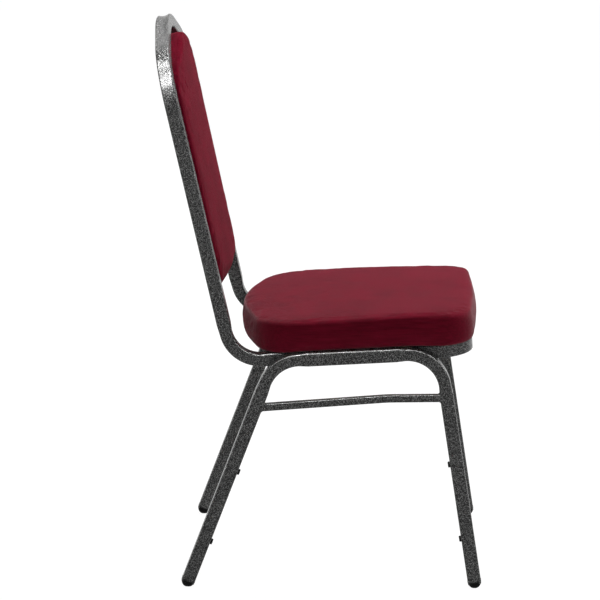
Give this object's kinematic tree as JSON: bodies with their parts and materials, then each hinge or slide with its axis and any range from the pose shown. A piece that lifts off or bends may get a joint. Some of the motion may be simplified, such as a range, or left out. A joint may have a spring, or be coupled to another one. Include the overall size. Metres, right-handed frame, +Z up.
{
  "type": "stacking banquet chair",
  "caption": "Stacking chair with a bent square-tube frame, a thick upholstered seat and an upholstered crown back, for rows and banquet tables.",
  "frame": {"origin": "on the floor, under the middle of the chair's overall width and depth", "axes": "+Z up, -Y the way a sitter faces, +X to the sitter's left"},
  "size_m": [0.41, 0.5424, 0.9329],
  "materials": {
    "frame_coat": "satin dark grey powder coat with a fine lighter speckle",
    "fabric": "plain burgundy weave",
    "foam": "open-cell polyurethane foam, hidden",
    "plywood": "raw plywood, hidden but for the seat's underside",
    "hardboard": "raw hardboard, hidden",
    "zinc": "zinc plated",
    "black_plastic": "matt black",
    "rubber": "matt black"
  },
  "bodies": {
    "root": {"back_board": "plywood", "back_cover": "fabric", "back_foam": "foam", "back_frame_tube": "frame_coat", "back_screws": "zinc", "back_tab_lower_left": "frame_coat", "back_tab_lower_right": "frame_coat", "back_tab_upper_left": "frame_coat", "back_tab_upper_right": "frame_coat", "back_tee_nuts": "zinc", "bumper_front_left_lower": "rubber", "bumper_front_left_upper": "rubber", "bumper_front_right_lower": "rubber", "bumper_front_right_upper": "rubber", "bumper_rear_left_lower": "rubber", "bumper_rear_left_upper": "rubber", "bumper_rear_right_lower": "rubber", "bumper_rear_right_upper": "rubber", "front_seat_rail": "frame_coat", "glide_front_left": "black_plastic", "glide_front_right": "black_plastic", "glide_rear_left": "black_plastic", "glide_rear_right": "black_plastic", "left_leg_frame": "frame_coat", "left_stretcher": "frame_coat", "panel_clips": "black_plastic", "rear_cross_tube": "frame_coat", "rear_panel": "hardboard", "rear_panel_cover": "fabric", "right_leg_frame": "frame_coat", "right_stretcher": "frame_coat", "seat_board": "plywood", "seat_cover": "fabric", "seat_foam": "foam", "seat_screws": "zinc", "seat_tab_front_left": "frame_coat", "seat_tab_front_right": "frame_coat", "seat_tab_rear_left": "frame_coat", "seat_tab_rear_right": "frame_coat", "seat_tee_nuts": "zinc"}
  },
  "joints": []
}
